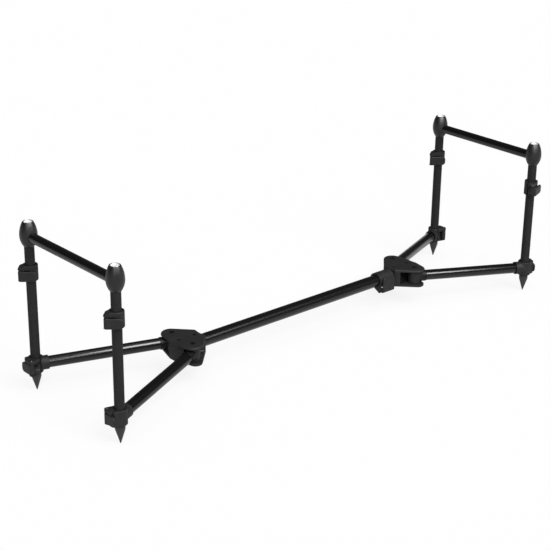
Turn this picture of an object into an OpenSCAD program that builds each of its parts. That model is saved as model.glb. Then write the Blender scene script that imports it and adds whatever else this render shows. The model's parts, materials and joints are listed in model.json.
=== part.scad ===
// Rod pod for two rods: a telescopic centre bar, two hubs with folding legs,
// and at each end a goalpost of two telescopic uprights joined by a cross beam.
// X runs along the centre bar, Z is up, and the spike tips stand on Z = 0.
// Front is the -X end, left is the +Y side.

/* [Frame] */
// Distance between the front and the rear uprights
frame_length = 924; // [900:4:960]
// Distance between the left and the right uprights
frame_width = 230; // [220:1:245]
// Height of the bar's axis above the spike tips
axis_height = 54.5; // [52:0.5:58]
// Height of the legs' outer ends above the spike tips
clamp_height = 45.5; // [44:0.5:50]
// Overall height with the risers down
overall_height = 287; // [280:1:310]

/* [Centre bar] */
// Outer diameter of the centre bar
bar_d = 22; // [21:0.25:23]
// Wall of the centre bar tubes
bar_wall = 1.4; // [1.2:0.1:1.8]
// Travel of the telescopic bar
bar_travel = 250; // [150:10:250]
// Length of inner tube that stays inside at full travel
bar_overlap = 100; // [80:5:100]

/* [Legs] */
// Outer diameter of a leg
leg_d = 19; // [18:0.25:19.5]
// Wall of a leg tube
leg_wall = 1.5; // [1.2:0.1:2]
// Distance along the bar from a leg's pivot to its upright
leg_run = 206; // [200:0.5:212]
// Distance between the two leg pivots of a hub
pivot_gap = 56; // [55:0.5:58]
// Diameter of a leg's pivot pin
pivot_d = 6; // [5:0.5:7]
// Radius of the upright knuckle at a leg's root
knuckle_boss_r = 11.5; // [10:0.5:12]
// Radius of the sleeve between the knuckle and the tube
leg_sleeve_r = 10.5; // [10:0.25:11]
// Length of the sleeve, measured from the pivot
leg_sleeve_length = 21; // [18:0.5:24]

/* [Hubs] */
// Length of a hub from its pivots to the bar side
hub_back = 37; // [36:1:42]
// Length of a hub from its pivots to its nose
hub_front = 22; // [20:1:24]
// Thickness of a hub's upper and lower plates
hub_plate = 4.5; // [4:0.5:6]
// Radius of the upper plate's round lug over each pivot
hub_lug_r = 16.5; // [16:0.5:18]
// Radius of the lower plate's round lug under each pivot
hub_foot_r = 11.5; // [11:0.5:13]

/* [Uprights] */
// Outer diameter of an upright, a riser sleeve and a cross beam
post_d = 16; // [15:0.25:16.5]
// Wall of an upright tube
post_wall = 1.45; // [1.2:0.05:1.8]
// Length of a spike's cone
cone_length = 24; // [18:1:28]
// Length of a spike's straight neck
neck_length = 6; // [4:0.5:8]
// Travel of a riser in its upright
riser_travel = 100; // [60:5:100]

/* [Heads] */
// Largest diameter of a bulb head
head_d = 28.5; // [27:0.5:30]
// Height of a bulb head
head_h = 40; // [39:0.5:43]
// Diameter of a head's flat top
head_top_d = 17.5; // [17:0.25:19]
// Diameter of a head's foot
head_foot_d = 16.8; // [16.6:0.1:18]
// Height of a head's widest place above its foot
head_waist = 18; // [16:0.5:20]
// Outer diameter of a threaded insert
insert_d = 14; // [13:0.25:15]
// Diameter of the threaded hole
thread_d = 8.3; // [7:0.1:9]
// Length of the thread below its countersink
thread_length = 10; // [8:0.5:10.5]

/* [Locks] */
// Wall of the clamp and collar rings
ring_wall = 4; // [3.6:0.1:4.4]
// Height of a leg-end clamp
clamp_h = 26; // [25:0.5:28]
// Height of an upright's lock collar
collar_h = 26; // [25:0.5:28]
// Length of the centre bar's lock collar
lock_length = 34; // [32:1:38]
// Thickness of a lever's pad
lever_t = 3.5; // [3:0.1:4]
// Diameter of a lever's pin
pin_d = 3; // [2.5:0.1:3.4]

/* [Hidden] */

$fn = 96;
// Extra length of a cutting tool beyond the face it cuts
cut = 1;
// Radial clearance of a running fit
run_fit = 0.05;
// Gap between pieces that move past each other
free_gap = 0.5;

// Plan of the frame
post_x = frame_length / 2;
post_y = frame_width / 2;
pivot_x = post_x - leg_run;
pivot_y = pivot_gap / 2;
leg_angle = atan2(post_y - pivot_y, leg_run);
leg_drop = axis_height - clamp_height;
leg_plan = norm([leg_run, post_y - pivot_y]);
leg_slope = atan2(leg_drop, leg_plan);
leg_length = norm([leg_plan, leg_drop]);
leg_r = leg_d / 2;
bar_r = bar_d / 2;
post_r = post_d / 2;
pin_r = pin_d / 2;

// Hubs
hub_in = pivot_x - hub_back;
hub_out = pivot_x + hub_front;
hub_slot_h = leg_sleeve_r + 3 * free_gap;
hub_half_h = hub_slot_h + hub_plate;
boss_half_h = hub_slot_h - free_gap;
leg_solid = 2 * leg_d;
hub_wall = 3;
hub_neck = bar_r + hub_wall;
web_turn = 4;
web_turn_x = pivot_x + web_turn;
web_wall = 5.5;
web_wall_x = hub_in + web_wall;
fold_range = 150;
fold_angle = fold_range + leg_angle;
web_front = 14;
web_front_x = pivot_x + web_front;
hub_nose_w = 12;
lug_shift = [1, 1.5];
foot_shift = [1, 7.5];
lug_back_angle = 135;
lug_front_angle = 15;
socket_depth = 40;
pivot_head_r = pivot_d / 2 + 1;
pivot_head_h = 0.8;
screw_r = 1.5;
screw_head_r = 2.8;
screw_head_h = 2.4;
screw_sink = 3.6;
screw_reach = 8;
hub_screw_set = 7;
hub_screw_x = pivot_x + hub_screw_set;
bar_screw_set = 12;
bar_screw_x = hub_in + bar_screw_set;

// Centre bar and its lock
lock_end = hub_in - 2 * free_gap;
lock_seat = 23;
outer_end = lock_end - lock_length + lock_seat;
inner_d = bar_d - 2 * bar_wall - 2 * run_fit;
inner_start = outer_end - bar_travel - bar_overlap;
lock_ring_r = bar_r + ring_wall - free_gap;
lock_pin = [-lock_ring_r - 2, -bar_r + 1];
lock_pad_in = lock_ring_r + 0.7;
lock_pad_end = 9.5;
lock_lever_z = 2.5;

// Leg-end clamps
ring_r = post_r + ring_wall;
clamp_z = clamp_height - clamp_h / 2;
clamp_pin = [-ring_r + 0.5, -ring_r - 2.3];
clamp_jaw = 3.5;
clamp_pad_in = ring_r + clamp_jaw;
clamp_pad_end = ring_r - 0.4;
clamp_jaw_w = 16;
clamp_jaw_x = -7;
clamp_lever_z = 2;
clamp_lever_h = clamp_h - 8.5;
flange_x = clamp_pin[0];
flange_depth = clamp_pad_in + lever_t - 0.8;
flange_back = 9;
flange_w = clamp_pad_end - flange_x - flange_back;
leg_socket_wall = 2;
leg_socket_r = leg_r + leg_socket_wall;
leg_socket_reach = 8.5;
leg_socket_end = ring_r + leg_socket_reach;
leg_web = 5.5;
leg_seat = post_r + leg_web;
mouth_r = post_r + 1.2;
mouth_depth = 1.6;
slit_w = 1.6;

// Upright lock collars
riser_show = 30;
collar_z = overall_height - head_h - riser_show - collar_h;
collar_mouth = 5.5;
post_top = collar_z + collar_h - collar_mouth;
collar_pin = [-ring_r - 2, -post_r];
collar_pad_in = ring_r + 0.5;
collar_pad_end = ring_r - 0.4;
collar_lever_z = 2;
collar_lever_h = collar_h - 9.5;
collar_slope_r = ring_r + 3.5;
collar_slope_h = 6;
collar_low_r = collar_slope_r + collar_slope_h;
collar_pin_h = collar_h - 2.5;
slit_y = 1;

// Lever shape
knuckle_r = pin_r + 2.2;
ear_r = knuckle_r + 0.8;
pad_round = 6;

// Uprights, spikes and risers
post_bottom = cone_length + neck_length;
post_bore_r = post_r - post_wall;
spike_plug = 12;
spike_tip_r = 0.6;
shank_r = post_bore_r - run_fit;
shank_wall = 1.5;
sleeve_bottom = post_top + free_gap;
shank_hold = 40;
shank_bottom = post_top - riser_travel - shank_hold;
head_bottom = overall_height - head_h;
spigot_h = 7;

// Heads and cross beams
head_r = head_d / 2;
head_wide_z = head_bottom + head_waist;
head_rise = head_h - head_waist;
function arc_radius(drop, run) = (drop * drop + run * run) / (2 * drop);
foot_arc = arc_radius(head_r - head_foot_d / 2, head_waist);
top_arc = arc_radius(head_r - head_top_d / 2, head_rise);
arc_steps = 720;
beam_lift = 1.5;
beam_z = head_bottom + spigot_h + beam_lift + post_r;
beam_wall = 1.5;
beam_inset = 5;
beam_stud_r = 4;
beam_plug = head_r + 12;
countersink_h = 2;
countersink_r = insert_d / 2 - 0.9;
insert_h = thread_length + countersink_h + 2;

// Turn of each upright lock collar about its upright
collar_turn = [-40, -40, -40, 20];

// Moves its children from the rear left corner to the corner on side sx, sy
module corner(sx, sy) {
    mirror([sx < 0 ? 1 : 0, 0, 0])
        mirror([0, sy < 0 ? 1 : 0, 0])
            children();
}

// Places its children at an upright, with X pointing outward along the leg
module leg_frame(sx, sy) {
    corner(sx, sy)
        translate([post_x, post_y, 0])
            rotate([0, 0, leg_angle])
                children();
}

// Places its children at a leg-end clamp, with the lever's pad facing the frame's end
module clamp_frame(sx, sy) {
    corner(sx, sy)
        translate([post_x, post_y, clamp_z])
            rotate([0, 0, 90])
                children();
}

// Places its children on an upright lock collar
module collar_frame(sx, sy, turn) {
    translate([sx * post_x, sy * post_y, collar_z])
        rotate([0, 0, turn])
            children();
}

// Places its children on the centre lock collar
module lock_frame() {
    translate([lock_end, 0, axis_height])
        rotate([0, -90, 0])
            children();
}

// Outline round two circles, one at the origin and one at p
module belt_plan(r1, p, r2) {
    turn = atan2(p[1], p[0]);
    lean = acos((r1 - r2) / norm(p));
    a = [cos(turn + lean), sin(turn + lean)];
    b = [cos(turn - lean), sin(turn - lean)];
    circle(r = r1);
    translate(p)
        circle(r = r2);
    polygon([r1 * a, p + r2 * a, p + r2 * b, r1 * b]);
}

// Plan of a cam lever: a knuckle on the pin and a flat pad
module lever_plan(pin, pad_in, pad_end) {
    pad_out = pad_in + lever_t;
    translate(pin)
        circle(r = knuckle_r);
    translate([pin[0], knuckle_r - pad_out])
        circle(r = knuckle_r);
    translate([pin[0] - knuckle_r, knuckle_r - pad_out])
        square([2 * knuckle_r, pin[1] + pad_out - knuckle_r]);
    translate([pin[0], -pad_out])
        square([pad_end - pin[0], lever_t]);
}

// Face of a cam lever, round at its free end
module lever_face(start, end, h) {
    translate([start, 0])
        square([end - pad_round - start, h]);
    translate([start, pad_round])
        square([end - start, h - 2 * pad_round]);
    for (z = [pad_round, h - pad_round])
        translate([end - pad_round, z])
            circle(r = pad_round);
}

module cam_lever(pin, pad_in, pad_end, h) {
    reach = 4 * (pad_in + lever_t);
    difference() {
        intersection() {
            linear_extrude(h)
                lever_plan(pin, pad_in, pad_end);
            rotate([90, 0, 0])
                linear_extrude(reach, center = true)
                    lever_face(pin[0] - 2 * knuckle_r, pad_end, h);
        }
        translate([pin[0], pin[1], -cut])
            cylinder(r = pin_r + run_fit, h = h + 2 * cut);
    }
}

// Ring with lugs above and below the lever's knuckle
module lock_ring(r, h, pin, lever_z, lever_h) {
    top_z = lever_z + lever_h + free_gap;
    cylinder(r = r, h = h);
    linear_extrude(lever_z - free_gap)
        belt_plan(r, pin, ear_r);
    translate([0, 0, top_z])
        linear_extrude(h - top_z)
            belt_plan(r, pin, ear_r);
}

module lever_pin(pin, h) {
    translate([pin[0], pin[1], 0])
        cylinder(r = pin_r, h = h);
}

// Centre bar
module centre_bar_outer() {
    start = -hub_in - socket_depth;
    color("#18191b")
        translate([start, 0, axis_height])
            rotate([0, 90, 0])
                difference() {
                    cylinder(r = bar_r, h = outer_end - start);
                    translate([0, 0, -cut])
                        cylinder(r = bar_r - bar_wall, h = outer_end - start + 2 * cut);
                }
}

module centre_bar_inner() {
    length = hub_in + socket_depth - inner_start;
    color("#18191b")
        translate([inner_start, 0, axis_height])
            rotate([0, 90, 0])
                difference() {
                    cylinder(d = inner_d, h = length);
                    translate([0, 0, -cut])
                        cylinder(r = inner_d / 2 - bar_wall, h = length + 2 * cut);
                }
}

module centre_lock_collar() {
    lever_h = lock_length - 2 * lock_lever_z;
    color("#2b2b2c")
        lock_frame()
            difference() {
                lock_ring(lock_ring_r, lock_length, lock_pin, lock_lever_z, lever_h);
                translate([0, 0, lock_length - lock_seat])
                    cylinder(r = bar_r, h = lock_seat + cut);
                translate([0, 0, -cut])
                    cylinder(r = inner_d / 2 + free_gap, h = lock_length);
                lever_pin_hole(lock_pin, lock_length);
            }
}

module centre_lock_lever() {
    color("#2e2e2f")
        lock_frame()
            translate([0, 0, lock_lever_z])
                cam_lever(lock_pin, lock_pad_in, lock_pad_end, lock_length - 2 * lock_lever_z);
}

module lever_pin_hole(pin, h) {
    translate([0, 0, -cut])
        lever_pin(pin, h + 2 * cut);
}

// Hubs, drawn at the rear and mirrored for the front
function leg_inside(x, angle) =
    pivot_y + (x - pivot_x) * tan(angle) - (leg_sleeve_r + free_gap) / abs(cos(angle));

function lug_centre(side, shift) =
    [pivot_x + shift[0], side * (pivot_y + shift[1])];

function lug_point(side, shift, r, angle) =
    lug_centre(side, shift) + [r * cos(angle), side * r * sin(angle)];

function hub_edge(side, shift, r) = [
    [hub_in, side * hub_neck],
    lug_point(side, shift, r, lug_back_angle),
    lug_point(side, shift, r, lug_front_angle),
    [hub_out, side * hub_nose_w / 2]
];

function web_side(side) = [
    [hub_in, side * hub_neck],
    [web_wall_x, side * (leg_inside(web_wall_x, fold_angle) - free_gap)],
    [pivot_x, side * (leg_inside(pivot_x, fold_angle) - free_gap)],
    [web_turn_x, side * leg_inside(web_turn_x, leg_angle)],
    [web_front_x, side * leg_inside(web_front_x, leg_angle)],
    [hub_out, side * hub_nose_w / 2]
];

function closed_outline(one, other) =
    concat(one, [for (i = [len(other) - 1 : -1 : 0]) other[i]]);

module hub_outline(shift, r) {
    polygon(closed_outline(hub_edge(1, shift, r), hub_edge(-1, shift, r)));
    for (side = [-1, 1])
        translate(lug_centre(side, shift))
            circle(r = r);
}

module hub_web() {
    difference() {
        polygon(closed_outline(web_side(1), web_side(-1)));
        for (side = [-1, 1])
            translate([pivot_x, side * pivot_y])
                circle(r = knuckle_boss_r + free_gap);
    }
}

module hub_solid(up) {
    translate([0, 0, up ? hub_slot_h : -hub_half_h])
        linear_extrude(hub_plate)
            if (up)
                hub_outline(lug_shift, hub_lug_r);
            else
                hub_outline(foot_shift, hub_foot_r);
    translate([0, 0, up ? 0 : -hub_slot_h])
        linear_extrude(hub_slot_h)
            hub_web();
}

module hub_half(up, socket_d) {
    translate([0, 0, axis_height])
        difference() {
            hub_solid(up);
            translate([hub_in - cut, 0, 0])
                rotate([0, 90, 0])
                    cylinder(d = socket_d, h = socket_depth + cut);
            for (side = [-1, 1])
                translate([pivot_x, side * pivot_y, -hub_half_h - cut])
                    cylinder(d = pivot_d, h = 2 * (hub_half_h + cut));
            translate([hub_screw_x, 0, -screw_reach])
                cylinder(r = screw_r, h = screw_reach + hub_half_h);
            if (up) {
                translate([bar_screw_x, 0, 0])
                    cylinder(r = screw_r, h = hub_half_h);
                for (x = [hub_screw_x, bar_screw_x])
                    translate([x, 0, hub_half_h - screw_sink])
                        cylinder(r = screw_head_r + free_gap, h = screw_sink + cut);
            }
        }
}

module hub_fasteners() {
    translate([0, 0, axis_height]) {
        for (side = [-1, 1])
            translate([pivot_x, side * pivot_y, 0])
                pivot_pin();
        translate([hub_screw_x, 0, 0])
            hub_screw(-screw_reach);
        translate([bar_screw_x, 0, 0])
            hub_screw(bar_r);
    }
}

module pivot_pin() {
    translate([0, 0, -hub_half_h])
        cylinder(d = pivot_d, h = 2 * hub_half_h);
    for (z = [-hub_half_h - pivot_head_h, hub_half_h])
        translate([0, 0, z])
            cylinder(r = pivot_head_r, h = pivot_head_h);
}

module hub_screw(foot) {
    translate([0, 0, foot])
        cylinder(r = screw_r, h = hub_half_h - screw_sink - foot);
    translate([0, 0, hub_half_h - screw_sink])
        cylinder(r = screw_head_r, h = screw_head_h);
}

module hub_front_lower() {
    color("#2b2b2c")
        corner(-1, 1)
            hub_half(false, bar_d);
}

module hub_front_upper() {
    color("#2e2e2f")
        corner(-1, 1)
            hub_half(true, bar_d);
}

module frame_front_fasteners() {
    color("#3c3d40") {
        corner(-1, 1)
            hub_fasteners();
        lock_frame()
            lever_pin(lock_pin, lock_length);
    }
}

module hub_rear_lower() {
    color("#2b2b2c")
        hub_half(false, inner_d);
}

module hub_rear_upper() {
    color("#2e2e2f")
        hub_half(true, inner_d);
}

module hub_rear_fasteners() {
    color("#3c3d40")
        hub_fasteners();
}

// Legs
// Tube with its sleeve at the pivot end, along Z
module leg_tube() {
    tube = leg_length - leg_seat;
    difference() {
        union() {
            cylinder(r = leg_sleeve_r, h = leg_sleeve_length);
            cylinder(r = leg_r, h = tube);
        }
        translate([0, 0, leg_solid])
            cylinder(r = leg_r - leg_wall, h = tube);
    }
}

module leg(sx, sy) {
    color("#18191b")
        leg_frame(sx, sy)
            translate([-leg_plan, 0, axis_height])
                difference() {
                    union() {
                        translate([0, 0, -boss_half_h])
                            cylinder(r = knuckle_boss_r, h = 2 * boss_half_h);
                        rotate([0, 90 + leg_slope, 0])
                            leg_tube();
                    }
                    translate([0, 0, -boss_half_h - cut])
                        cylinder(r = pivot_d / 2 + run_fit, h = 2 * (boss_half_h + cut));
                }
}

// Leg-end clamps
// Points its children's Z axis from an upright back along its leg
module along_leg() {
    translate([0, 0, clamp_h / 2])
        rotate([leg_slope - 90, 0, leg_angle])
            children();
}

module flange_plan() {
    belt_plan(ring_r, clamp_pin, ear_r);
    translate([flange_x, -flange_depth])
        square([flange_w, flange_depth]);
}

module clamp_solid() {
    top_z = clamp_lever_z + clamp_lever_h + free_gap;
    lock_ring(ring_r, clamp_h, clamp_pin, clamp_lever_z, clamp_lever_h);
    translate([0, 0, top_z])
        linear_extrude(clamp_h - top_z)
            flange_plan();
    translate([clamp_jaw_x, free_gap - clamp_pad_in, 0])
        cube([clamp_jaw_w, clamp_pad_in - free_gap, clamp_h]);
    along_leg()
        cylinder(r = leg_socket_r, h = leg_socket_end);
}

module clamp(sx, sy) {
    color("#2b2b2c")
        clamp_frame(sx, sy)
            difference() {
                clamp_solid();
                translate([0, 0, -cut])
                    cylinder(r = post_r + run_fit, h = clamp_h + 2 * cut);
                translate([0, 0, clamp_h - mouth_depth])
                    cylinder(r = mouth_r, h = mouth_depth + cut);
                along_leg()
                    translate([0, 0, leg_seat])
                        cylinder(r = leg_r, h = leg_socket_end);
                translate([-2 * ring_r, slit_y, -cut])
                    cube([2 * ring_r, slit_w, clamp_h + 2 * cut]);
                lever_pin_hole(clamp_pin, clamp_h);
            }
}

module clamp_lever(sx, sy) {
    color("#2e2e2f")
        clamp_frame(sx, sy)
            translate([0, 0, clamp_lever_z])
                cam_lever(clamp_pin, clamp_pad_in, clamp_pad_end, clamp_lever_h);
}

module clamp_pin_node(sx, sy) {
    color("#9a9c9f")
        clamp_frame(sx, sy)
            lever_pin(clamp_pin, clamp_h);
}

// Uprights and spikes
module upright(sx, sy) {
    color("#1d1e20")
        translate([sx * post_x, sy * post_y, post_bottom])
            difference() {
                cylinder(r = post_r, h = post_top - post_bottom);
                translate([0, 0, -cut])
                    cylinder(r = post_bore_r, h = post_top - post_bottom + 2 * cut);
            }
}

module spike(sx, sy) {
    color("#1d1e20")
        translate([sx * post_x, sy * post_y, 0]) {
            cylinder(r1 = spike_tip_r, r2 = post_r, h = cone_length);
            translate([0, 0, cone_length])
                cylinder(r = post_r, h = neck_length);
            translate([0, 0, post_bottom])
                cylinder(r = post_bore_r, h = spike_plug);
        }
}

// Upright lock collars
// Slopes the top corner of a collar's lug
module collar_corner() {
    translate([0, 0, collar_h - collar_slope_h])
        difference() {
            cylinder(r = 2 * collar_slope_r, h = collar_slope_h + cut);
            cylinder(r1 = collar_low_r, r2 = collar_slope_r - cut, h = collar_slope_h + cut);
        }
}

module collar(sx, sy, turn) {
    color("#2b2b2c")
        collar_frame(sx, sy, turn)
            difference() {
                lock_ring(ring_r, collar_h, collar_pin, collar_lever_z, collar_lever_h);
                translate([0, 0, -cut])
                    cylinder(r = post_r, h = collar_h - collar_mouth + cut);
                translate([0, 0, collar_h - collar_mouth])
                    cylinder(r = mouth_r, h = collar_mouth + cut);
                translate([-2 * ring_r, slit_y, -cut])
                    cube([2 * ring_r, slit_w, collar_h + 2 * cut]);
                collar_corner();
                lever_pin_hole(collar_pin, collar_h);
            }
}

module collar_lever(sx, sy, turn) {
    color("#2e2e2f")
        collar_frame(sx, sy, turn)
            translate([0, 0, collar_lever_z])
                cam_lever(collar_pin, collar_pad_in, collar_pad_end, collar_lever_h);
}

module collar_pin_node(sx, sy, turn) {
    color("#9a9c9f")
        collar_frame(sx, sy, turn)
            lever_pin(collar_pin, collar_pin_h);
}

// Risers
module riser(sx, sy) {
    color("#1d1e20")
        translate([sx * post_x, sy * post_y, 0])
            difference() {
                union() {
                    translate([0, 0, sleeve_bottom])
                        cylinder(r = post_r, h = head_bottom - sleeve_bottom);
                    translate([0, 0, shank_bottom])
                        cylinder(r = shank_r, h = head_bottom + spigot_h - shank_bottom);
                }
                translate([0, 0, shank_bottom - cut])
                    cylinder(r = shank_r - shank_wall, h = head_bottom - shank_bottom);
            }
}

// Heads
module head_profile(grow) {
    translate([head_r - foot_arc, head_wide_z])
        intersection() {
            circle(r = foot_arc + grow, $fn = arc_steps);
            translate([foot_arc - head_r, -head_waist])
                square([head_r + grow, head_waist]);
        }
    translate([head_r - top_arc, head_wide_z])
        intersection() {
            circle(r = top_arc + grow, $fn = arc_steps);
            translate([top_arc - head_r, 0])
                square([head_r + grow, head_rise]);
        }
}

module head(sx, sy) {
    color("#1b1b1c")
        translate([sx * post_x, sy * post_y, 0])
            difference() {
                rotate_extrude()
                    head_profile(0);
                translate([0, 0, head_bottom - cut])
                    cylinder(r = shank_r, h = spigot_h + cut);
                translate([0, 0, overall_height - insert_h])
                    cylinder(d = insert_d, h = insert_h + cut);
                if (sy > 0)
                    translate([0, -beam_inset, beam_z])
                        rotate([90, 0, 0])
                            cylinder(r = beam_stud_r, h = head_r);
            }
}

module insert(sx, sy) {
    color("#c9cbce")
        translate([sx * post_x, sy * post_y, overall_height - insert_h])
            difference() {
                cylinder(d = insert_d, h = insert_h);
                translate([0, 0, insert_h - countersink_h - thread_length])
                    cylinder(d = thread_d, h = thread_length + countersink_h + cut);
                translate([0, 0, insert_h - countersink_h])
                    cylinder(r1 = thread_d / 2, r2 = countersink_r, h = countersink_h);
            }
}

// Cross beams, held by a stud in the left head and butting on the right one
module beam_tube(sx) {
    translate([sx * post_x, post_y, beam_z])
        rotate([90, 0, 0])
            difference() {
                cylinder(r = post_r, h = frame_width);
                translate([0, 0, beam_plug])
                    cylinder(r = post_r - beam_wall, h = frame_width);
            }
}

module beam(sx) {
    color("#18191b") {
        difference() {
            beam_tube(sx);
            translate([sx * post_x, post_y, 0])
                rotate_extrude()
                    head_profile(0);
            translate([sx * post_x, -post_y, 0])
                rotate_extrude()
                    head_profile(free_gap);
        }
        translate([sx * post_x, post_y - beam_inset, beam_z])
            rotate([90, 0, 0])
                cylinder(r = beam_stud_r, h = head_r);
    }
}

module leg_front_left() { leg(-1, 1); }
module leg_front_right() { leg(-1, -1); }
module leg_rear_left() { leg(1, 1); }
module leg_rear_right() { leg(1, -1); }
module clamp_front_left() { clamp(-1, 1); }
module clamp_front_right() { clamp(-1, -1); }
module clamp_rear_left() { clamp(1, 1); }
module clamp_rear_right() { clamp(1, -1); }
module clamp_lever_front_left() { clamp_lever(-1, 1); }
module clamp_lever_front_right() { clamp_lever(-1, -1); }
module clamp_lever_rear_left() { clamp_lever(1, 1); }
module clamp_lever_rear_right() { clamp_lever(1, -1); }
module clamp_pin_front_left() { clamp_pin_node(-1, 1); }
module clamp_pin_front_right() { clamp_pin_node(-1, -1); }
module clamp_pin_rear_left() { clamp_pin_node(1, 1); }
module clamp_pin_rear_right() { clamp_pin_node(1, -1); }
module upright_front_left() { upright(-1, 1); }
module upright_front_right() { upright(-1, -1); }
module upright_rear_left() { upright(1, 1); }
module upright_rear_right() { upright(1, -1); }
module spike_front_left() { spike(-1, 1); }
module spike_front_right() { spike(-1, -1); }
module spike_rear_left() { spike(1, 1); }
module spike_rear_right() { spike(1, -1); }
module collar_front_left() { collar(-1, 1, collar_turn[0]); }
module collar_front_right() { collar(-1, -1, collar_turn[1]); }
module collar_rear_left() { collar(1, 1, collar_turn[2]); }
module collar_rear_right() { collar(1, -1, collar_turn[3]); }
module collar_lever_front_left() { collar_lever(-1, 1, collar_turn[0]); }
module collar_lever_front_right() { collar_lever(-1, -1, collar_turn[1]); }
module collar_lever_rear_left() { collar_lever(1, 1, collar_turn[2]); }
module collar_lever_rear_right() { collar_lever(1, -1, collar_turn[3]); }
module collar_pin_front_left() { collar_pin_node(-1, 1, collar_turn[0]); }
module collar_pin_front_right() { collar_pin_node(-1, -1, collar_turn[1]); }
module collar_pin_rear_left() { collar_pin_node(1, 1, collar_turn[2]); }
module collar_pin_rear_right() { collar_pin_node(1, -1, collar_turn[3]); }
module riser_front_left() { riser(-1, 1); }
module riser_front_right() { riser(-1, -1); }
module riser_rear_left() { riser(1, 1); }
module riser_rear_right() { riser(1, -1); }
module head_front_left() { head(-1, 1); }
module head_front_right() { head(-1, -1); }
module head_rear_left() { head(1, 1); }
module head_rear_right() { head(1, -1); }
module insert_front_left() { insert(-1, 1); }
module insert_front_right() { insert(-1, -1); }
module insert_rear_left() { insert(1, 1); }
module insert_rear_right() { insert(1, -1); }
module beam_front() { beam(-1); }
module beam_rear() { beam(1); }

centre_bar_outer();
centre_bar_inner();
centre_lock_collar();
centre_lock_lever();
hub_front_lower();
hub_front_upper();
frame_front_fasteners();
hub_rear_lower();
hub_rear_upper();
hub_rear_fasteners();
leg_front_left();
leg_front_right();
leg_rear_left();
leg_rear_right();
clamp_front_left();
clamp_front_right();
clamp_rear_left();
clamp_rear_right();
clamp_lever_front_left();
clamp_lever_front_right();
clamp_lever_rear_left();
clamp_lever_rear_right();
clamp_pin_front_left();
clamp_pin_front_right();
clamp_pin_rear_left();
clamp_pin_rear_right();
upright_front_left();
upright_front_right();
upright_rear_left();
upright_rear_right();
spike_front_left();
spike_front_right();
spike_rear_left();
spike_rear_right();
collar_front_left();
collar_front_right();
collar_rear_left();
collar_rear_right();
collar_lever_front_left();
collar_lever_front_right();
collar_lever_rear_left();
collar_lever_rear_right();
collar_pin_front_left();
collar_pin_front_right();
collar_pin_rear_left();
collar_pin_rear_right();
riser_front_left();
riser_front_right();
riser_rear_left();
riser_rear_right();
head_front_left();
head_front_right();
head_rear_left();
head_rear_right();
insert_front_left();
insert_front_right();
insert_rear_left();
insert_rear_right();
beam_front();
beam_rear();
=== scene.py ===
# %% [markdown]
# # A black rod pod, dressed in cells
# A rod pod is a low stand that carries fishing rods. A centre bar joins two hubs, four
# legs fan out from the hubs, and each leg holds an upright with a spike at its foot. A
# bulb head with a threaded insert tops each upright, and a beam joins each pair of heads.
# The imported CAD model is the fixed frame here. Tubes whose shape is already right keep
# their CAD mesh and only get a finish. Moulded and turned pieces are modelled again with
# soft edges, because soft edges are what the eye reads as plastic and turned metal.

# %% Load the frame
import json
from math import asin, pi, radians

import bmesh
import bpy
from mathutils import Euler, Matrix, Vector


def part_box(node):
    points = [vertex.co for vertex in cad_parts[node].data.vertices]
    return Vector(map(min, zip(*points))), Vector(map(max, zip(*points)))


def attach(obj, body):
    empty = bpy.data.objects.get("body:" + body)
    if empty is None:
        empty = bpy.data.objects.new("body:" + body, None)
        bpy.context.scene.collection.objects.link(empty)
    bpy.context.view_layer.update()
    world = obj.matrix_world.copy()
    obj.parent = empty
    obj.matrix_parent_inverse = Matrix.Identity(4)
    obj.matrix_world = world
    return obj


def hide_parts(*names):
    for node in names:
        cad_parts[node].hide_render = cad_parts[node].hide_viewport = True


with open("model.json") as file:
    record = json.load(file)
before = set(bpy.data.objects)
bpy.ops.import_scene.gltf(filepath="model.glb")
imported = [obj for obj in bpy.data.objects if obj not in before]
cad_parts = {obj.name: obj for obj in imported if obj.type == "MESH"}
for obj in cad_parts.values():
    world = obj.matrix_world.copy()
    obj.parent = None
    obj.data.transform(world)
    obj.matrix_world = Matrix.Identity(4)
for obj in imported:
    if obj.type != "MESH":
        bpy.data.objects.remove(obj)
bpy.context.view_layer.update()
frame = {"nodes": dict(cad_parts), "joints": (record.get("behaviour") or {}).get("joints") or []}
mm = 0.001
scene = bpy.context.scene
joints = {joint["name"]: joint for joint in frame["joints"]}
corners = ["front_left", "front_right", "rear_left", "rear_right"]

# %% [markdown]
# ## Camera
# The photograph is a long-lens view from the front right, a little above. The position,
# the angles and the lens were worked out by fitting the spike tips, the head tops and the
# lines of the tubes to their places in the picture. A camera in Blender looks along its
# own -Z axis, so a tilt of 90 degrees about X makes it look level, and the drop is taken
# off that.

# %% Camera
heading, drop, roll = radians(-41.316), radians(22.373), radians(0.716)
camera = bpy.data.objects.new("camera", bpy.data.cameras.new("camera"))
camera.data.lens = 94.31
camera.data.sensor_width = 36
camera.location = (-1.54204, -1.68819, 1.05438)
turned = Euler((pi / 2 - drop, 0, heading)).to_matrix() @ Matrix.Rotation(roll, 3, "Z")
camera.rotation_euler = turned.to_euler()
scene.collection.objects.link(camera)
scene.camera = camera
scene.view_settings.view_transform = "Standard"
print("camera lens", camera.data.lens, "mm")

# %% [markdown]
# ## One function for nodes, one for colours
# Every finish below is a small node tree. Adding a node always means three things: make
# it, set its options, and fill or link its sockets. One function does all three. A socket
# is given by its name, or by its number where several sockets of a node share a name: Mix
# takes its two colours on 6 and 7, and gives their blend on 2. Colours are written as they
# look on screen, and a shader wants light, so one function turns the hex value into linear
# numbers by the sRGB curve.

# %% Node and colour helpers
def linear(hex_colour):
    parts = [int(hex_colour[i:i + 2], 16) / 255 for i in (1, 3, 5)]
    return [p / 12.92 if p <= 0.04045 else ((p + 0.055) / 1.055) ** 2.4 for p in parts] + [1]


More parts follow.
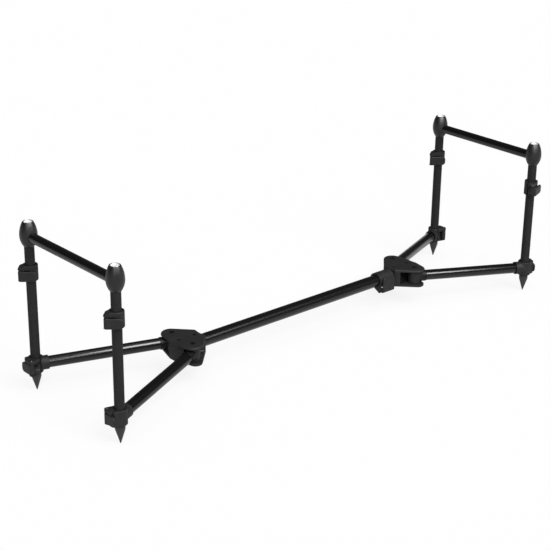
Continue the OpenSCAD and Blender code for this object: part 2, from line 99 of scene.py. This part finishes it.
def add(tree, kind, sockets=None, **options):
    node = tree.nodes.new("ShaderNode" + kind)
    for option, value in options.items():
        setattr(node, option, value)
    for socket, value in (sockets or {}).items():
        if isinstance(value, bpy.types.NodeSocket):
            tree.links.new(value, node.inputs[socket])
        else:
            node.inputs[socket].default_value = value
    return node


def new_finish(name):
    material = bpy.data.materials.new(name)
    material.use_nodes = True
    return material, material.node_tree, material.node_tree.nodes["Principled BSDF"]


print("mid grey in linear light:", round(linear("#808080")[0], 3))

# %% [markdown]
# ## Floor and light
# The picture is a studio shot on white. A wide pale plane fills the frame, and most of
# its white is given straight to the camera and to reflections, so that the floor stays
# pale while it keeps a soft shadow. Suns act as softboxes and give an even light. The thin
# bright line on two of the legs comes from a long strip of light that lies parallel to
# them. Only reflections see the strip, so it adds no light to matte pieces. The sun beside
# the camera gives the heads and uprights their soft bright middle and dark rims, and the
# one overhead puts the white into the inserts. The other two suns are kept out of
# reflections, so that the upper side of the gloss tubes stays black. A dim grey world
# lights what no lamp reaches.

# %% Floor and light
def white_floor():
    half_side, white_share = 40, 0.85
    bm = bmesh.new()
    bmesh.ops.create_grid(bm, x_segments=1, y_segments=1, size=half_side)
    mesh = bpy.data.meshes.new("floor")
    bm.to_mesh(mesh)
    bm.free()
    floor = bpy.data.objects.new("floor", mesh)
    scene.collection.objects.link(floor)
    material, tree, shader = new_finish("white_studio_paper")
    shader.inputs["Base Color"].default_value = linear("#f4f4f4")
    shader.inputs["Roughness"].default_value = 0.9
    shader.inputs["Specular IOR Level"].default_value = 0
    path = add(tree, "LightPath").outputs
    mirrored = add(
        tree, "Math", {0: path["Is Glossy Ray"], 1: path["Is Transmission Ray"]},
        operation="MAXIMUM",
    )
    seen = add(
        tree, "Math", {0: path["Is Camera Ray"], 1: mirrored.outputs[0]},
        operation="MAXIMUM",
    )
    share = add(tree, "Math", {0: seen.outputs[0], 1: white_share}, operation="MULTIPLY")
    glow = add(tree, "Emission", {"Color": (1, 1, 1, 1), "Strength": 1})
    mix = add(tree, "MixShader", {0: share.outputs[0], 1: shader.outputs[0], 2: glow.outputs[0]})
    tree.links.new(mix.outputs[0], tree.nodes["Material Output"].inputs["Surface"])
    mesh.materials.append(material)


def softbox(name, towards, strength, spread, reflects=True):
    lamp = bpy.data.lights.new(name, "SUN")
    lamp.energy = strength
    lamp.angle = radians(spread)
    box = bpy.data.objects.new(name, lamp)
    box.rotation_euler = Vector(towards).to_track_quat("Z", "Y").to_euler()
    box.visible_glossy = reflects
    scene.collection.objects.link(box)


def long_softbox(name, centre, along, size, watts):
    lamp = bpy.data.lights.new(name, "AREA")
    lamp.shape = "RECTANGLE"
    lamp.size, lamp.size_y = size
    lamp.energy = watts
    side = Vector(along).normalized()
    across = Vector(centre).cross(side).normalized()
    box = bpy.data.objects.new(name, lamp)
    box.location = centre
    box.rotation_euler = Matrix((side, across, side.cross(across))).transposed().to_euler()
    box.visible_camera = False
    box.visible_diffuse = False
    scene.collection.objects.link(box)


white_floor()
softbox("softbox_right", towards=(0.02, -0.70, 0.71), strength=2.0, spread=40, reflects=False)
long_softbox(
    "light_strip", centre=(0.14, -1.75, 2.0), along=(0.91, -0.41, 0), size=(2.8, 1.1), watts=240,
)
softbox("softbox_front", towards=(-0.60, -0.66, 0.50), strength=1.2, spread=20)
softbox("softbox_above", towards=(-0.15, -0.14, 0.98), strength=0.8, spread=60)
softbox("fill_above", towards=(-0.3, -0.2, 1.0), strength=0.3, spread=90, reflects=False)
dim_grey = (0.1, 0.1, 0.1, 1)
world = bpy.data.worlds.new("studio")
scene.world = world
world.use_nodes = True
world.node_tree.nodes["Background"].inputs["Color"].default_value = dim_grey

# %% [markdown]
# ## Anodised tube
# The bar, the legs and the beams are drawn aluminium tube, dyed black and sealed, so they
# shine like dark glass. The uprights are etched before the dye, which makes them satin.
# Drawing leaves faint lines along a tube. They are a noise stretched along the tube: a
# Mapping node of the texture kind turns the point back to the tube's own direction and
# then divides it by the size of one streak. Real streaks are about 0.1 mm wide, too fine
# to show here, so they are drawn 0.9 mm wide.

# %% Anodised tube
# Most values of a noise texture lie between these two.
noise_low, noise_high = 0.3, 0.7


def anodised_tube(name, colours, roughness, mirror, along):
    streak_length, streak_width, streak_depth = 140 * mm, 0.9 * mm, 0.04 * mm
    cloud_size, gloss_swing = 18 * mm, 0.02
    material, tree, shader = new_finish(name)
    point = add(tree, "TexCoord").outputs["Object"]
    turn = Vector(along).to_track_quat("X", "Z").to_euler()
    streak = (streak_length, streak_width, streak_width)
    local = add(
        tree, "Mapping", {"Vector": point, "Rotation": turn, "Scale": streak},
        vector_type="TEXTURE",
    )
    streaks = add(tree, "TexNoise", {"Vector": local.outputs[0], "Scale": 1, "Detail": 3})
    clouds = add(tree, "TexNoise", {"Vector": point, "Scale": 1 / cloud_size, "Detail": 2})
    tone = add(
        tree, "Mix", {0: clouds.outputs[0], 6: linear(colours[0]), 7: linear(colours[1])},
        data_type="RGBA",
    )
    gloss = add(tree, "MapRange", {
        "Value": streaks.outputs[0], "From Min": noise_low, "From Max": noise_high,
        "To Min": roughness - gloss_swing, "To Max": roughness + gloss_swing,
    })
    bump = add(tree, "Bump", {
        "Height": streaks.outputs[0], "Strength": 0.03, "Distance": streak_depth,
    })
    tree.links.new(tone.outputs[2], shader.inputs["Base Color"])
    tree.links.new(gloss.outputs[0], shader.inputs["Roughness"])
    tree.links.new(bump.outputs[0], shader.inputs["Normal"])
    shader.inputs["Specular IOR Level"].default_value = mirror
    return material


def leg_way(corner):
    # From a leg's pivot to the upright's axis, at the height of the clamp's pin.
    pivot = Vector(joints[f"leg_{corner}_fold"]["pos_m"])
    low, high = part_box("clamp_pin_" + corner)
    post = sum(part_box("upright_" + corner), Vector()) / 2
    return pivot, Vector((post.x, post.y, (low.z + high.z) / 2)) - pivot


gloss_black = ("#060607", "#0a0a0b")
satin_black = ("#222223", "#292929")
bar_finish = anodised_tube(
    "gloss_black_anodised_bar", gloss_black, roughness=0.24, mirror=0.35, along=(1, 0, 0),
)
beam_finish = anodised_tube(
    "gloss_black_anodised_beam", gloss_black, roughness=0.24, mirror=0.3, along=(0, 1, 0),
)
upright_finish = anodised_tube(
    "satin_black_anodised_upright", satin_black, roughness=0.55, mirror=0.05, along=(0, 0, 1),
)
leg_finish = {
    corner: anodised_tube(
        "gloss_black_anodised_leg_" + corner, gloss_black,
        roughness=0.22, mirror=0.35, along=leg_way(corner)[1],
    )
    for corner in corners
}
print("leg lengths in mm:", [round(leg_way(corner)[1].length / mm, 1) for corner in corners])

# %% [markdown]
# ## Moulded nylon
# Hubs, clamps and collars are moulded from black glass-filled nylon. The mould is
# spark-eroded, so the skin has a fine even grain that scatters the light and keeps it
# grey rather than shiny. Levers come from a smoother mould and are rubbed by thumbs, so
# they are a touch glossier. The sleeves on the legs are made by polished steel cores: with
# hardly any grain to catch light they look almost as black as the tubes. The walls of the
# hubs' mouths get the same near-black finish as painted shade, for the shadow inside the
# mouths. Real grain is about 0.2 mm; it is drawn at 0.8 mm to show.

# %% Moulded nylon
def moulded_nylon(name, colours, roughness, grain_strength):
    grain_size, grain_depth = 0.8 * mm, 0.12 * mm
    flow_size, sheen_swing = 14 * mm, 0.06
    material, tree, shader = new_finish(name)
    point = add(tree, "TexCoord").outputs["Object"]
    grain = add(tree, "TexNoise", {"Vector": point, "Scale": 1 / grain_size, "Detail": 2})
    flow = add(tree, "TexNoise", {"Vector": point, "Scale": 1 / flow_size, "Detail": 3})
    tone = add(
        tree, "Mix", {0: flow.outputs[0], 6: linear(colours[0]), 7: linear(colours[1])},
        data_type="RGBA",
    )
    sheen = add(tree, "MapRange", {
        "Value": flow.outputs[0], "From Min": noise_low, "From Max": noise_high,
        "To Min": roughness - sheen_swing, "To Max": roughness + sheen_swing,
    })
    bump = add(tree, "Bump", {
        "Height": grain.outputs[0], "Strength": grain_strength, "Distance": grain_depth,
    })
    tree.links.new(tone.outputs[2], shader.inputs["Base Color"])
    tree.links.new(sheen.outputs[0], shader.inputs["Roughness"])
    tree.links.new(bump.outputs[0], shader.inputs["Normal"])
    shader.inputs["Specular IOR Level"].default_value = 0.1
    return material


shell_finish = moulded_nylon(
    "spark_eroded_black_nylon", ("#212122", "#2a2a2b"), roughness=0.56, grain_strength=0.35,
)
lever_finish = moulded_nylon(
    "smooth_black_nylon", ("#232324", "#2a2a2b"), roughness=0.46, grain_strength=0.35,
)
# Near-black nylon: the sleeves' own smooth finish, and painted shade on the walls of the hubs'
# mouths.
sleeve_and_mouth_shade_finish = moulded_nylon(
    "polished_black_nylon_and_mouth_shade", ("#0a0a0b", "#101011"), roughness=0.4, grain_strength=0.05,
)
print("nylon finishes:", shell_finish.name, lever_finish.name, sleeve_and_mouth_shade_finish.name)

# %% [markdown]
# ## Turned metal
# Heads and spikes are turned from aluminium and lacquered satin black, and pins and
# screws are steel. The inserts are nickel-plated brass, tumbled until they are silky. That
# scatters light much as a pale paint does, so they are only partly metallic here. A lathe
# tool leaves fine rings. Each turned piece below stores how far along its outline a point
# lies, in an attribute named turning, and the finish makes rings from it. Real feed marks
# are about 0.1 mm apart; they are drawn 0.7 mm apart so that they show. Lacquer mirrors a
# little less than the 0.5 that Blender starts from.

# %% Turned metal
def turned_metal(name, colours, roughness, metallic=0, mirror=0.5, ring_depth=0.01 * mm):
    cloud_size, ring_pitch, gloss_swing = 6 * mm, 0.7 * mm, 0.05
    material, tree, shader = new_finish(name)
    point = add(tree, "TexCoord").outputs["Object"]
    clouds = add(tree, "TexNoise", {"Vector": point, "Scale": 1 / cloud_size, "Detail": 3})
    tone = add(
        tree, "Mix", {0: clouds.outputs[0], 6: linear(colours[0]), 7: linear(colours[1])},
        data_type="RGBA",
    )
    gloss = add(tree, "MapRange", {
        "Value": clouds.outputs[0], "From Min": noise_low, "From Max": noise_high,
        "To Min": roughness - gloss_swing, "To Max": roughness + gloss_swing,
    })
    travel = add(tree, "Attribute", attribute_name="turning").outputs["Fac"]
    phase = add(tree, "Math", {0: travel, 1: 2 * pi / ring_pitch}, operation="MULTIPLY")
    rings = add(tree, "Math", {0: phase.outputs[0]}, operation="SINE")
    bump = add(tree, "Bump", {
        "Height": rings.outputs[0], "Strength": 0.4, "Distance": ring_depth,
    })
    tree.links.new(tone.outputs[2], shader.inputs["Base Color"])
    tree.links.new(gloss.outputs[0], shader.inputs["Roughness"])
    tree.links.new(bump.outputs[0], shader.inputs["Normal"])
    shader.inputs["Metallic"].default_value = metallic
    shader.inputs["Specular IOR Level"].default_value = mirror
    return material


head_finish = turned_metal(
    "satin_black_lacquered_head", ("#0d0d0e", "#121213"), roughness=0.42, mirror=0.35,
)
spike_finish = turned_metal(
    "satin_black_lacquered_spike", ("#202021", "#282829"),
    roughness=0.5, mirror=0.35, ring_depth=0.02 * mm,
)
insert_finish = turned_metal(
    "nickel_plated_brass", ("#e6e7e8", "#f2f2f0"), roughness=0.38, metallic=0.35,
)
pin_finish = turned_metal(
    "bright_steel_pin", ("#a9abad", "#c4c6c8"), roughness=0.3, metallic=1,
)
# Black oxide steel for the screws and rivets, made darker than the oxide alone as painted shade:
# the dark heads stand in for the shadow in their recesses.
screw_and_recess_shade_finish = turned_metal(
    "black_oxide_steel_and_painted_shade", ("#161617", "#1f1f20"), roughness=0.42, metallic=1,
)
print("turned finishes:", head_finish.name, insert_finish.name, pin_finish.name)

# %% [markdown]
# ## Finishes on the CAD tubes
# The bar, the beams, the uprights and the risers are plain lengths of tube on the real
# object too, so the CAD mesh is the right shape. Changing an object's materials changes
# its looks and leaves its mesh be.

# %% Finishes on the CAD tubes
tube_finish = {
    "centre_bar_outer": bar_finish,
    "centre_bar_inner": bar_finish,
    "beam_front": beam_finish,
    "beam_rear": beam_finish,
}
for corner in corners:
    tube_finish["upright_" + corner] = upright_finish
    tube_finish["riser_" + corner] = upright_finish
for node, finish in tube_finish.items():
    materials = frame["nodes"][node].data.materials
    materials.clear()
    materials.append(finish)
print("CAD tubes with a finish:", len(tube_finish))

# %% [markdown]
# ## Moulded pieces: soften a copy of the CAD shape
# A mould has no sharp edges, because plastic does not fill them. The CAD solid has the
# right faces, so a copy of its mesh is merged into one skin, its flat triangles are
# dissolved into whole faces, and then its sharp edges are bevelled. Only edges that stand
# out are rounded, because a corner that goes inwards has no room for the new faces. Wide
# edges are done first, small ones after. Weighted normals keep the flat faces flat in the
# light.

# %% Soften helpers
# Points closer than weld become one, and heights closer than hair count as the same.
weld, hair = 0.002 * mm, 0.01 * mm
flat_angle, sharp_angle = radians(1), radians(32)


def merged_copy(node):
    bm = bmesh.new()
    bm.from_mesh(frame["nodes"][node].data)
    bmesh.ops.remove_doubles(bm, verts=bm.verts, dist=weld)
    bmesh.ops.dissolve_limit(bm, angle_limit=flat_angle, verts=bm.verts, edges=bm.edges)
    return bm


def round_edges(bm, width_mm, segments, wanted=lambda middle: True):
    edges = [
        e for e in bm.edges
        if e.is_convex
        and e.calc_face_angle() > sharp_angle
        and wanted((e.verts[0].co + e.verts[1].co) / 2)
    ]
    bmesh.ops.bevel(
        bm, geom=edges, offset=width_mm * mm, offset_type="OFFSET", affect="EDGES",
        segments=segments, profile=0.5, clamp_overlap=False, material=-1,
    )
    return len(edges)


def finish_piece(bm, name, finishes, body, *nodes):
    mesh = bpy.data.meshes.new(name)
    bm.to_mesh(mesh)
    bm.free()
    mesh.shade_smooth()
    for finish in finishes:
        mesh.materials.append(finish)
    piece = bpy.data.objects.new(name, mesh)
    scene.collection.objects.link(piece)
    piece.modifiers.new("even_light", "WEIGHTED_NORMAL").keep_sharp = True
    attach(piece, body)
    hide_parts(*nodes)


def off_axis(joint):
    # Gives a function that says how far a place is from the joint's axis.
    point, along = Vector(joints[joint]["pos_m"]), Vector(joints[joint]["axis"])
    return lambda place: (place - point).cross(along).length


sample = merged_copy("collar_front_left")
triangles = len(frame["nodes"]["collar_front_left"].data.polygons)
print("a collar's CAD triangles:", triangles, "and whole faces:", len(sample.faces))
sample.free()

# %% [markdown]
# ## Levers
# A lever is a flat thumb pad with a knuckle on a pin. The pad of the real one is a small
# cushion, so all its edges get a wide round edge. The rims of the pin's hole would run
# into that, so they are left for a second, narrow bevel.

# %% Levers
# An edge that is nearer to a lever's pin than this is the rim of the pin's hole.
pin_rim = 2.6 * mm


def soft_lever(node):
    bm = merged_copy(node)
    from_pin = off_axis(node + "_turn")
    count = round_edges(
        bm, width_mm=1.6, segments=4, wanted=lambda place: from_pin(place) > pin_rim,
    )
    count += round_edges(bm, width_mm=0.2, segments=1)
    finish_piece(bm, "soft_" + node, [lever_finish], node, node)
    return count


for corner in corners:
    for kind in ("clamp_lever_", "collar_lever_"):
        soft_lever(kind + corner)
count = soft_lever("centre_lock_lever")
print("edges rounded on the last lever:", count)

# %% [markdown]
# ## Clamps, collars and the centre lock
# Each lock is a split ring round a tube, with two lugs that hold the lever's pin. The rims
# of its top and bottom go first, away from the pin's hole, and on clamps and collars they
# are the roundest edges. The rest of the outside has the generous edges of a moulding. The
# mouth round the tube and the slit have small ones, because the tool that makes them is a
# plain steel core.

# %% Clamps, collars and the centre lock
def soft_ring(node, lever, body, tube, width_mm, rim_mm):
    mouth_margin = 1.5 * mm
    bm = merged_copy(node)
    low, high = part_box(tube)
    axis = max(range(3), key=lambda i: (high - low)[i])
    middle, reach = (low + high) / 2, mouth_margin + min(high - low) / 2
    from_pin = off_axis(lever + "_turn")
    bottom, top = (point.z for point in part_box(node))

    def outside(place):
        away = place - middle
        away[axis] = 0
        return away.length > reach

    def rims(place):
        level = min(top - place.z, place.z - bottom) < hair
        return level and outside(place) and from_pin(place) > pin_rim

    count = round_edges(bm, rim_mm, segments=4, wanted=rims)
    count += round_edges(bm, width_mm, segments=3, wanted=outside)
    count += round_edges(bm, width_mm=0.25, segments=2)
    finish_piece(bm, "soft_" + node, [shell_finish], body, node)
    return count


for corner in corners:
    post = "upright_" + corner
    soft_ring(
        "clamp_" + corner, "clamp_lever_" + corner, "leg_" + corner, post,
        width_mm=0.7, rim_mm=1.3,
    )
    count = soft_ring(
        "collar_" + corner, "collar_lever_" + corner, post, post,
        width_mm=0.7, rim_mm=1.4,
    )
soft_ring(
    "centre_lock_collar", "centre_lock_lever", "frame", "centre_bar_outer",
    width_mm=0.8, rim_mm=0.8,
)
print("edges rounded on the last collar:", count)

# %% [markdown]
# ## Hubs
# A hub is two moulded shells screwed together round the end of the bar. From above it
# reads as one smooth hood, so the rim of the top gets a wide round edge. The holes for
# screws and pivots lie in the same plane and must not be widened, so the rim is picked by
# its height and by its distance from them. Between its two ears the hood dips a little:
# the top is cut along four lines, and what lies between them is lowered. The mouth for a
# leg is the space between the two plates beside a pivot, so its walls are found by their
# place, and get a near-black finish: painted shade, for the shadow inside the mouth.

# %% Hubs
# A hub's plates are 4.5 mm thick, so what lies within 4.4 mm of its outer face is plate.
plate = 4.4 * mm


def cut_across(bm, place, facing):
    snap = 0.001 * mm
    parts = list(bm.verts) + list(bm.edges) + list(bm.faces)
    bmesh.ops.bisect_plane(bm, geom=parts, dist=snap, plane_co=place, plane_no=facing)


def dip_hood(bm, level):
    floor, brink, depth = 4.5 * mm, 12.5 * mm, 1.2 * mm
    for y in (-brink, -floor, floor, brink):
        cut_across(bm, (0, y, 0), (0, 1, 0))
    for v in bm.verts:
        inwards = min(1, max(0, (brink - abs(v.co.y)) / (brink - floor)))
        upwards = max(0, 1 - (level - v.co.z) / plate)
        v.co.z -= depth * inwards * upwards


def off_pivots(end):
    pivots = [off_axis(f"leg_{end}_{side}_fold") for side in ("left", "right")]
    return lambda place: min(from_pivot(place) for from_pivot in pivots)


def mark_mouths(bm, end, level):
    mouth_radius, mouth_length, steep = 18 * mm, 28 * mm, 0.5
    from_pivots = off_pivots(end)
    pivot_x = joints[f"leg_{end}_left_fold"]["pos_m"][0]
    inwards = -1 if pivot_x > 0 else 1
    cut_across(bm, (pivot_x + inwards * mouth_length, 0, 0), (1, 0, 0))
    for face in bm.faces:
        middle = face.calc_center_median()
        wall = abs(face.normal.z) < steep and abs(middle.z - level) > plate
        by_pivot = from_pivots(middle) < mouth_radius
        on_bar_side = 0 < (middle.x - pivot_x) * inwards < mouth_length
        # Index 1 is the near-black finish on the mouth walls: painted shade for the shadow in the
        # mouth.
        face.material_index = int(wall and (by_pivot or on_bar_side))


def soft_hub(node, body, end, level, width_mm, dips):
    screw_inset, screw_reach, pivot_reach = 4 * mm, 5 * mm, 6 * mm
    bm = merged_copy(node)
    low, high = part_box(node)
    from_pivots = off_pivots(end)

    def rim(place):
        inset = low.x + screw_inset < place.x < high.x - screw_inset
        by_screw = inset and abs(place.y) < screw_reach
        by_pivot = from_pivots(place) < pivot_reach
        return abs(place.z - level) < hair and not by_screw and not by_pivot

    count = round_edges(bm, width_mm, segments=5, wanted=rim)
    count += round_edges(bm, width_mm=0.4, segments=2)
    if dips:
        dip_hood(bm, level)
    mark_mouths(bm, end, level)
    finish_piece(bm, "soft_" + node, [shell_finish, sleeve_and_mouth_shade_finish], body, node)
    return count


for end, body in (("front", "frame"), ("rear", "rear_frame")):
    upper, lower = f"hub_{end}_upper", f"hub_{end}_lower"
    soft_hub(lower, body, end, level=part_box(lower)[0].z, width_mm=1.6, dips=False)
    count = soft_hub(upper, body, end, level=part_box(upper)[1].z, width_mm=3, dips=True)
print("edges rounded on the last hub half:", count)

# %% [markdown]
# ## Legs
# At its root a leg has a nylon knuckle: an upright boss round the pivot and a short,
# smooth sleeve that grips the tube. Boss, sleeve and tube are one node of the frame, so
# one mesh carries all three finishes. A face belongs to the boss or to the sleeve if its
# middle lies near enough to the pivot.

# %% Legs
def soft_leg(corner):
    boss_end, sleeve_end = 11.4 * mm, 22 * mm
    hole_reach, knuckle_reach = 6 * mm, 40 * mm
    bm = merged_copy("leg_" + corner)
    pivot, way = leg_way(corner)
    along = way.normalized()
    count = round_edges(
        bm, width_mm=0.6, segments=3,
        wanted=lambda place: hole_reach < (place - pivot).length < knuckle_reach,
    )
    for face in bm.faces:
        reach = (face.calc_center_median() - pivot).dot(along)
        face.material_index = int(reach < sleeve_end) + int(reach < boss_end)
    finishes = [leg_finish[corner], sleeve_and_mouth_shade_finish, shell_finish]
    finish_piece(bm, "soft_leg_" + corner, finishes, "leg_" + corner, "leg_" + corner)
    return count


for corner in corners:
    count = soft_leg(corner)
print("edges rounded on the last leg:", count)

# %% [markdown]
# ## Turned pieces
# A lathe sweeps an outline round an axis, and spin does the same. The outline starts as
# one vertex. A line grows from it by extruding the last vertex, and an arc by spinning the
# last vertex round the arc's centre. The whole outline is then spun round Z.

# %% Lathe helpers
lathe_steps = 72


def line_to(bm, last, radius, height):
    grown = bmesh.ops.extrude_vert_indiv(bm, verts=[last])["verts"][0]
    grown.co = (radius, 0, height)
    return grown


def lines(bm, points):
    first = last = bm.verts.new((points[0][0], 0, points[0][1]))
    for radius, height in points[1:]:
        last = line_to(bm, last, radius, height)
    return first, last


def arc_to(bm, last, centre, sweep, steps):
    grown = bmesh.ops.spin(bm, geom=[last], cent=centre, axis=(0, 1, 0), angle=sweep, steps=steps)
    return [part for part in grown["geom_last"] if isinstance(part, bmesh.types.BMVert)][0]


def lathe(bm, place):
    everything = list(bm.verts) + list(bm.edges)
    bmesh.ops.spin(
        bm, geom=everything, axis=(0, 0, 1), angle=2 * pi, steps=lathe_steps, use_merge=True,
    )
    bmesh.ops.remove_doubles(bm, verts=bm.verts, dist=weld)
    bmesh.ops.recalc_face_normals(bm, faces=bm.faces)
    bmesh.ops.translate(bm, verts=bm.verts, vec=place)


def mark_turning(bm, place):
    travel = bm.verts.layers.float.new("turning")
    for v in bm.verts:
        v[travel] = v.co.z - (v.co - place).to_2d().length


print("degrees in one step of the lathe:", 360 / lathe_steps)

# %% [markdown]
# ## Heads
# A head is a bulb with its widest place a little below the middle. Two arcs meet there
# with a level tangent, one down to the foot and one up to the flat top. Foot, top and
# widest place are measured on the CAD head, so the beam meets it as the CAD beam does. The
# left heads have a hole in one side for the beam's stud, which sets their boxes off centre
# in Y, so the axis takes its Y from the upright. A trim of two thousandths of a millimetre
# keeps the rounder head inside the CAD box.

# %% Heads
def turned_head(corner):
    riser_hole, trim = 6.6 * mm, 0.002 * mm
    foot_steps, top_steps = 20, 24
    node = "head_" + corner
    low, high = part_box(node)
    axis = Vector(((low.x + high.x) / 2, sum(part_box("upright_" + corner), Vector()).y / 2, 0))
    rings = [((v.co - axis).to_2d().length, v.co.z) for v in frame["nodes"][node].data.vertices]
    widest, waist = max(rings)
    high.z -= trim
    widest -= trim
    foot = max(r for r, z in rings if z < low.z + hair)
    top = max(r for r, z in rings if z > high.z)
    down, up = waist - low.z, high.z - waist
    foot_arc = ((widest - foot) ** 2 + down ** 2) / (2 * (widest - foot))
    top_arc = ((widest - top) ** 2 + up ** 2) / (2 * (widest - top))
    insert_radius = sum(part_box("insert_" + corner)[1].xy - axis.xy) / 2
    bm = bmesh.new()
    first, last = lines(bm, [(riser_hole, low.z), (foot, low.z)])
    last = arc_to(bm, last, (widest - foot_arc, 0, waist), -asin(down / foot_arc), foot_steps)
    last = arc_to(bm, last, (widest - top_arc, 0, waist), -asin(up / top_arc), top_steps)
    last = line_to(bm, last, insert_radius, high.z)
    bm.edges.new((last, first))
    lathe(bm, axis)
    round_edges(bm, width_mm=0.35, segments=3)
    mark_turning(bm, axis)
    finish_piece(bm, "turned_" + node, [head_finish], "riser_" + corner, node)
    return widest / mm, foot / mm, top / mm, down / mm


for corner in corners:
    head_sizes = turned_head(corner)
print("head: widest, foot and top radius, waist height in mm:", [round(v, 2) for v in head_sizes])

# %% [markdown]
# ## Inserts
# The insert is a plated brass bush with a countersunk thread. The thread's ridge is a
# small triangle that is spun many turns and lifted by one pitch each turn. The pitch is
# that of a 3/8 inch BSF thread, 20 to the inch. The hole that the CAD model gives is the
# space inside the ridge's crests, so the wall between the ridges lies further out.

# %% Inserts
def threaded_insert(corner):
    crest, root, pitch = 4.15 * mm, 4.75 * mm, 25.4 / 20 * mm
    chamfer, land, countersink = 0.3 * mm, 0.9 * mm, 2 * mm
    thread_start, half_ridge, overlap = 2.6 * mm, 0.5 * mm, 0.05 * mm
    steps, turns = 32, 6
    node = "insert_" + corner
    low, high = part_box(node)
    axis = Vector(((low.x + high.x) / 2, (low.y + high.y) / 2, 0))
    outer = (high.x - low.x) / 2
    bm = bmesh.new()
    first, last = lines(bm, [
        (root, low.z), (outer, low.z), (outer, high.z - chamfer), (outer - chamfer, high.z),
        (outer - land, high.z), (root, high.z - countersink),
    ])
    bm.edges.new((last, first))
    lathe(bm, Vector())
    bottom = low.z + thread_start
    ridge = [bm.verts.new((root + overlap, 0, bottom + h)) for h in (-half_ridge, half_ridge)]
    ridge.append(bm.verts.new((crest, 0, bottom)))
    face = bm.faces.new(ridge)
    bmesh.ops.spin(
        bm, geom=[face] + list(face.edges) + list(face.verts), axis=(0, 0, 1),
        dvec=(0, 0, pitch / steps), angle=2 * pi * turns, steps=steps * turns,
    )
    bmesh.ops.recalc_face_normals(bm, faces=bm.faces)
    bmesh.ops.translate(bm, verts=bm.verts, vec=axis)
    mark_turning(bm, axis)
    finish_piece(bm, "threaded_" + node, [insert_finish], "riser_" + corner, node)
    return len(ridge) * steps * turns


for corner in corners:
    count = threaded_insert(corner)
print("thread faces on the last insert:", count)

# %% [markdown]
# ## Spikes
# A spike is turned to a point below a short neck. A cone and a cylinder would do, but one
# outline on the lathe gives both, with the fine groove that marks where the spike screws
# into the upright. The point is a small flat, as on the CAD spike, so that it can stand.

# %% Spikes
def turned_spike(corner):
    point_radius, point_length, plug_step = 0.6 * mm, 24 * mm, 1.45 * mm
    groove_below, groove_slope, groove_depth = 0.9 * mm, 0.5 * mm, 0.4 * mm
    node = "spike_" + corner
    low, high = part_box(node)
    axis = Vector(((low.x + high.x) / 2, (low.y + high.y) / 2, 0))
    radius = (high.x - low.x) / 2
    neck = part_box("upright_" + corner)[0].z
    bm = bmesh.new()
    lines(bm, [
        (0, low.z), (point_radius, low.z), (radius, low.z + point_length),
        (radius, neck - groove_below), (radius - groove_depth, neck - groove_slope),
        (radius - groove_depth, neck), (radius - plug_step, neck),
        (radius - plug_step, high.z), (0, high.z),
    ])
    lathe(bm, axis)
    mark_turning(bm, axis)
    finish_piece(bm, "turned_" + node, [spike_finish], "upright_" + corner, node)
    return (neck - low.z) / mm


for corner in corners:
    length = turned_spike(corner)
print("spike below the upright in mm:", round(length, 1))

# %% [markdown]
# ## Pins, rivets and screws
# The lever pins are cut from steel rod and the hubs are held by riveted pivots and dark
# screws. Their dark colour is partly the black oxide and partly painted shade, for the
# shadow in the recesses round their heads. Rivet and screw heads have round rims, which is
# a bevel on a copy of the CAD solids. The attribute for the turning rings is written here
# too.

# %% Pins, rivets and screws
def soft_fasteners(node, body, finish, width_mm):
    bm = merged_copy(node)
    count = round_edges(bm, width_mm, segments=3)
    low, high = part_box(node)
    mark_turning(bm, (low + high) / 2)
    finish_piece(bm, "soft_" + node, [finish], body, node)
    return count


for corner in corners:
    soft_fasteners("clamp_pin_" + corner, "leg_" + corner, pin_finish, width_mm=0.3)
    soft_fasteners("collar_pin_" + corner, "upright_" + corner, pin_finish, width_mm=0.3)
soft_fasteners("frame_front_fasteners", "frame", screw_and_recess_shade_finish, width_mm=0.35)
count = soft_fasteners("hub_rear_fasteners", "rear_frame", screw_and_recess_shade_finish, width_mm=0.35)
print("edges rounded on the rear hub's fasteners:", count)
